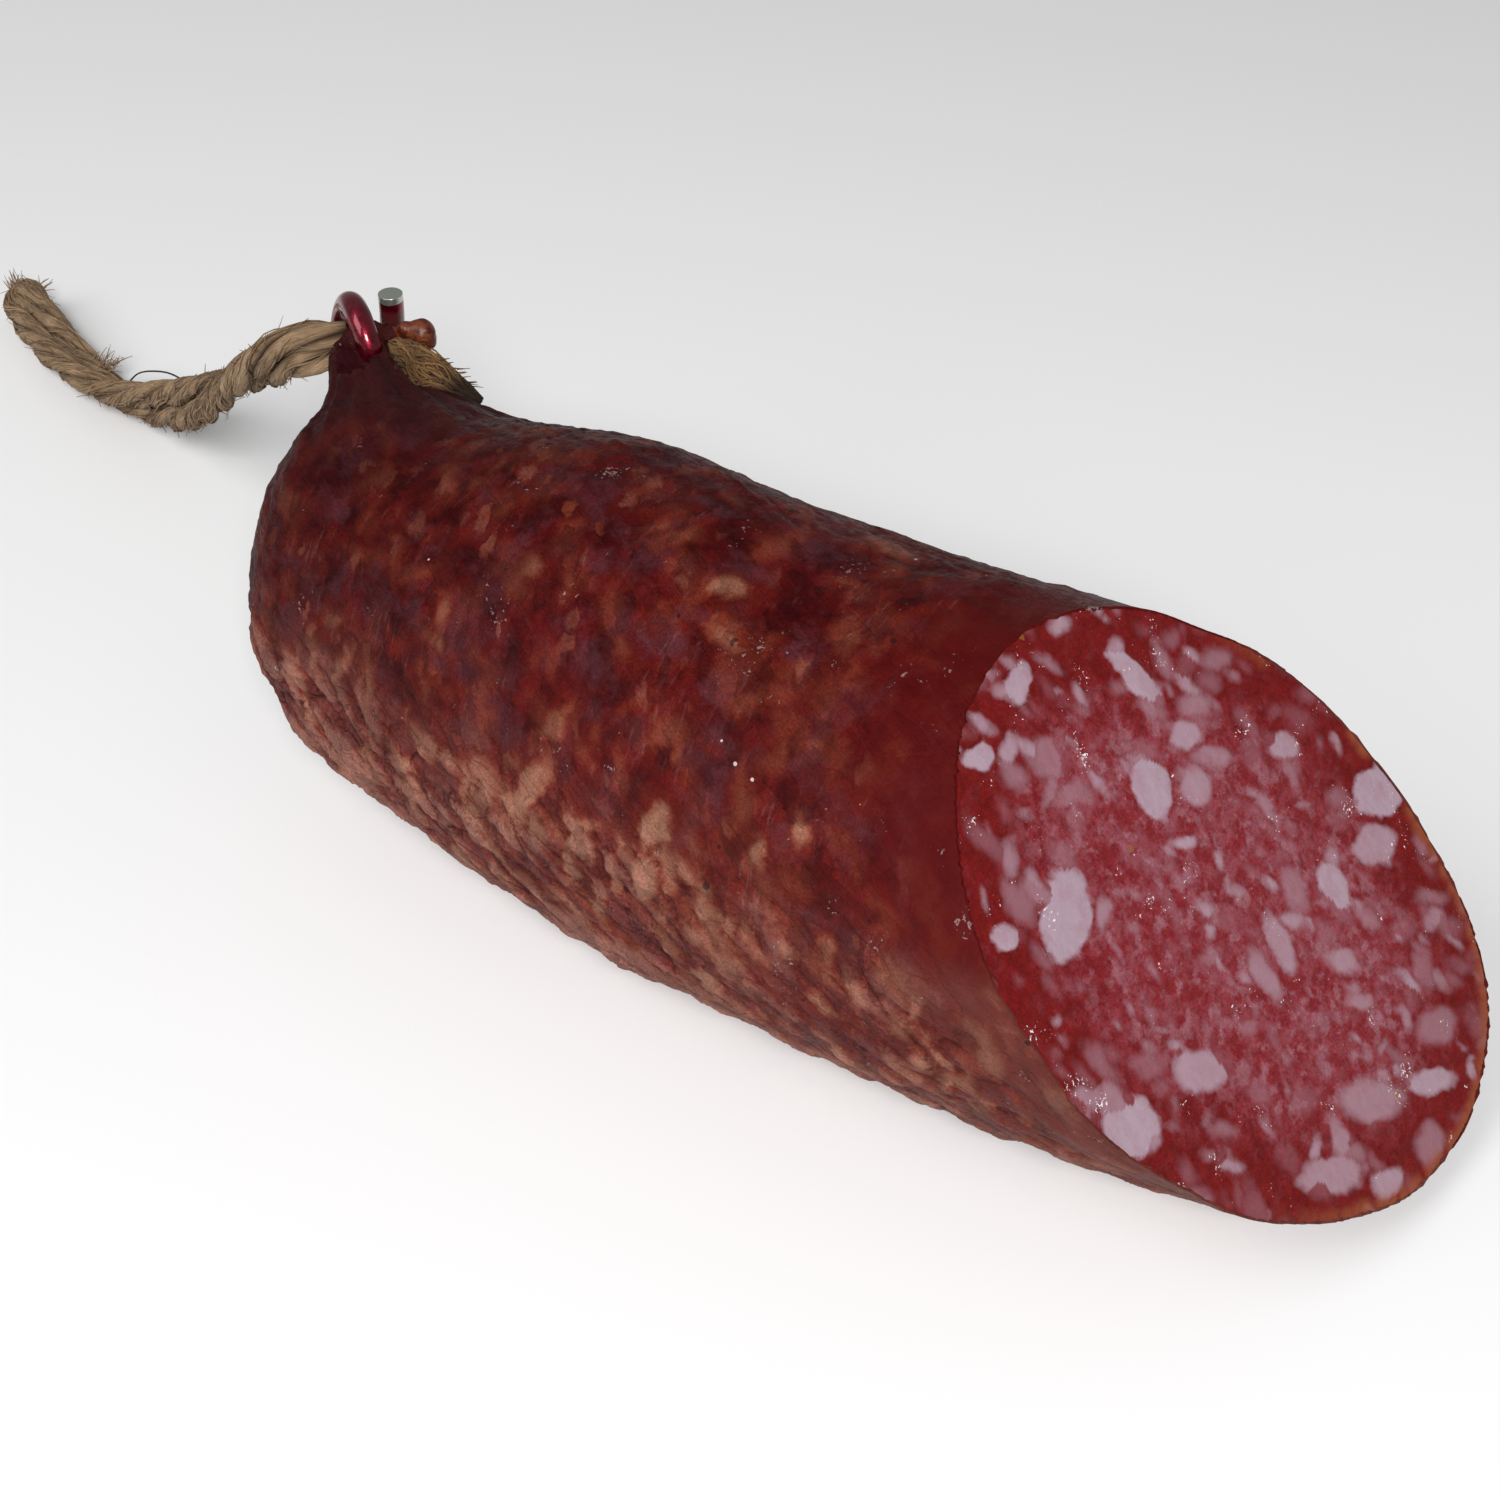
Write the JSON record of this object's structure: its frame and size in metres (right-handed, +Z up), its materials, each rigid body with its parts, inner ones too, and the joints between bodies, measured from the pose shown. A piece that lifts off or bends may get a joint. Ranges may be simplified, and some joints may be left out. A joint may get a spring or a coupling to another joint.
{
  "type": "cured sausage",
  "caption": "Cured sausage cut on a slant, showing red meat and white fat, in a dark wrinkled casing closed by a wire clip that also holds a loop of jute twine.",
  "frame": {"origin": "the middle of the flat strip that the sausage lies on, on the table", "axes": "+X runs along the sausage to the cut end, -X to the clipped end and the twine, +Z is up"},
  "size_m": [0.2187, 0.0697, 0.0465],
  "materials": {
    "cured_sausage": "dry wrinkled casing with a slight sheen, moist cut face",
    "lacquered_wire": "glossy crimson lacquer on aluminium wire, bare at its cut end",
    "jute": "coarse, hairy and matt"
  },
  "bodies": {
    "root": {"sausage": "cured_sausage", "clip": "lacquered_wire", "twine": "jute", "twine_tail": "jute"}
  },
  "joints": []
}
